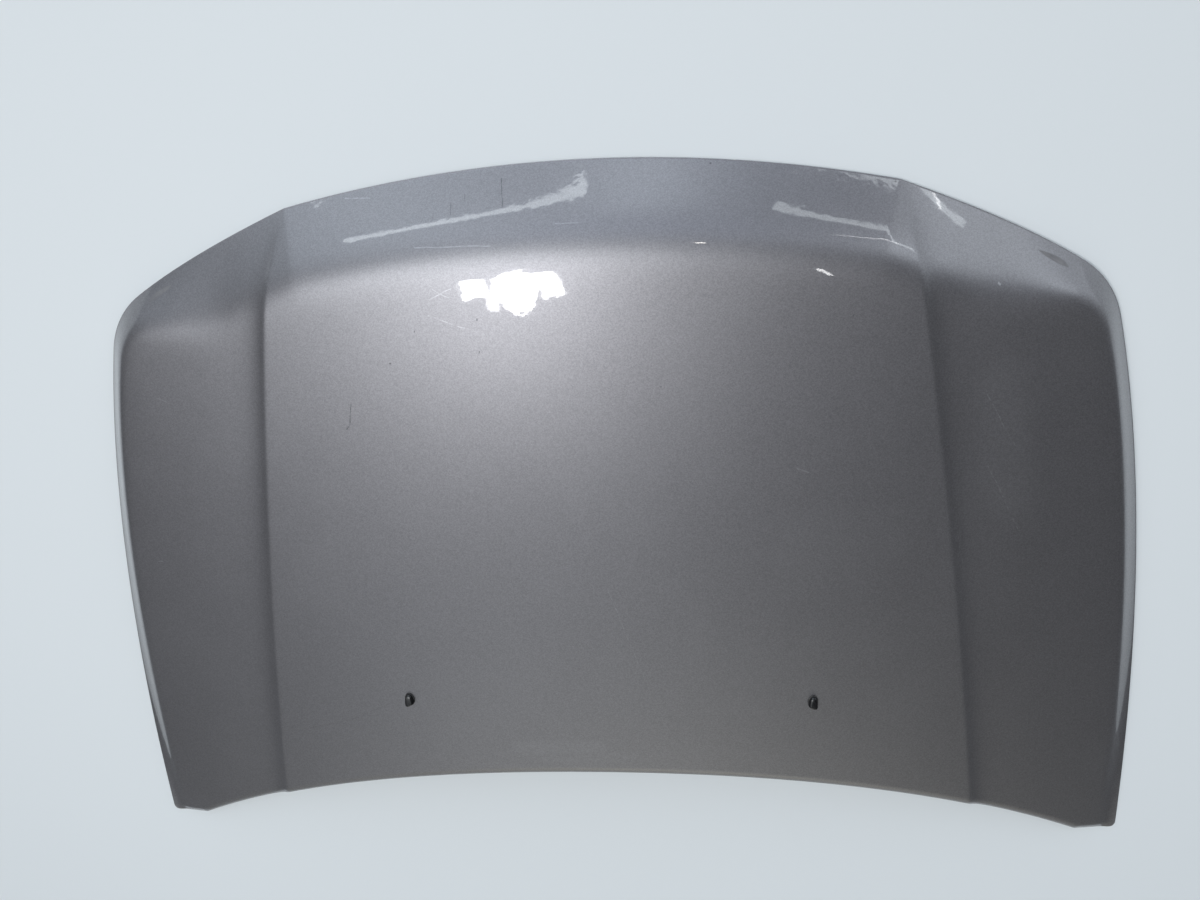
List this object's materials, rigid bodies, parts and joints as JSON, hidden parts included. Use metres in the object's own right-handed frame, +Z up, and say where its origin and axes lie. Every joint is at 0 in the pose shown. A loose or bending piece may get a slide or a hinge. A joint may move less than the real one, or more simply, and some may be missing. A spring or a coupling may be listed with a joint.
{
  "type": "car bonnet",
  "caption": "Steel car bonnet with a crowned, creased outer skin hemmed round a ribbed inner panel, with hinge pads, striker and washer jets.",
  "frame": {"origin": "middle of the bounding box at the surface that the bonnet lies on", "axes": "+Z up through the outer skin, +Y toward the nose, +X toward the car's right side"},
  "size_m": [1.4998, 1.0072, 0.1023],
  "materials": {
    "body_paint": "gloss metallic grey paint with clear coat, lightly scratched",
    "inner_paint": "thin satin metallic grey overspray",
    "primed_steel": "matt grey electrocoat primer",
    "zinc_steel": "passivated zinc plate",
    "black_plastic": "glossy black moulded plastic",
    "black_rubber": "matt black rubber",
    "mastic": "matt dark anti-flutter mastic"
  },
  "bodies": {
    "root": {"hinge_reinforcement_left": "primed_steel", "hinge_reinforcement_right": "primed_steel", "hinge_weld_nut_left_inner": "zinc_steel", "hinge_weld_nut_left_outer": "zinc_steel", "hinge_weld_nut_right_inner": "zinc_steel", "hinge_weld_nut_right_outer": "zinc_steel", "inner_panel": "inner_paint", "jet_gasket_left": "black_rubber", "jet_gasket_right": "black_rubber", "latch_reinforcement": "primed_steel", "mastic_pad_left_front_inner": "mastic", "mastic_pad_left_front_outer": "mastic", "mastic_pad_left_rear_inner": "mastic", "mastic_pad_left_rear_outer": "mastic", "mastic_pad_right_front_inner": "mastic", "mastic_pad_right_front_outer": "mastic", "mastic_pad_right_rear_inner": "mastic", "mastic_pad_right_rear_outer": "mastic", "outer_skin": "body_paint", "rubber_buffer_left": "black_rubber", "rubber_buffer_right": "black_rubber", "striker_bolt_left": "zinc_steel", "striker_bolt_right": "zinc_steel", "striker_loop": "zinc_steel", "striker_plate": "zinc_steel", "striker_weld_nut_left": "zinc_steel", "striker_weld_nut_right": "zinc_steel", "washer_jet_left": "black_plastic", "washer_jet_right": "black_plastic"}
  },
  "joints": []
}
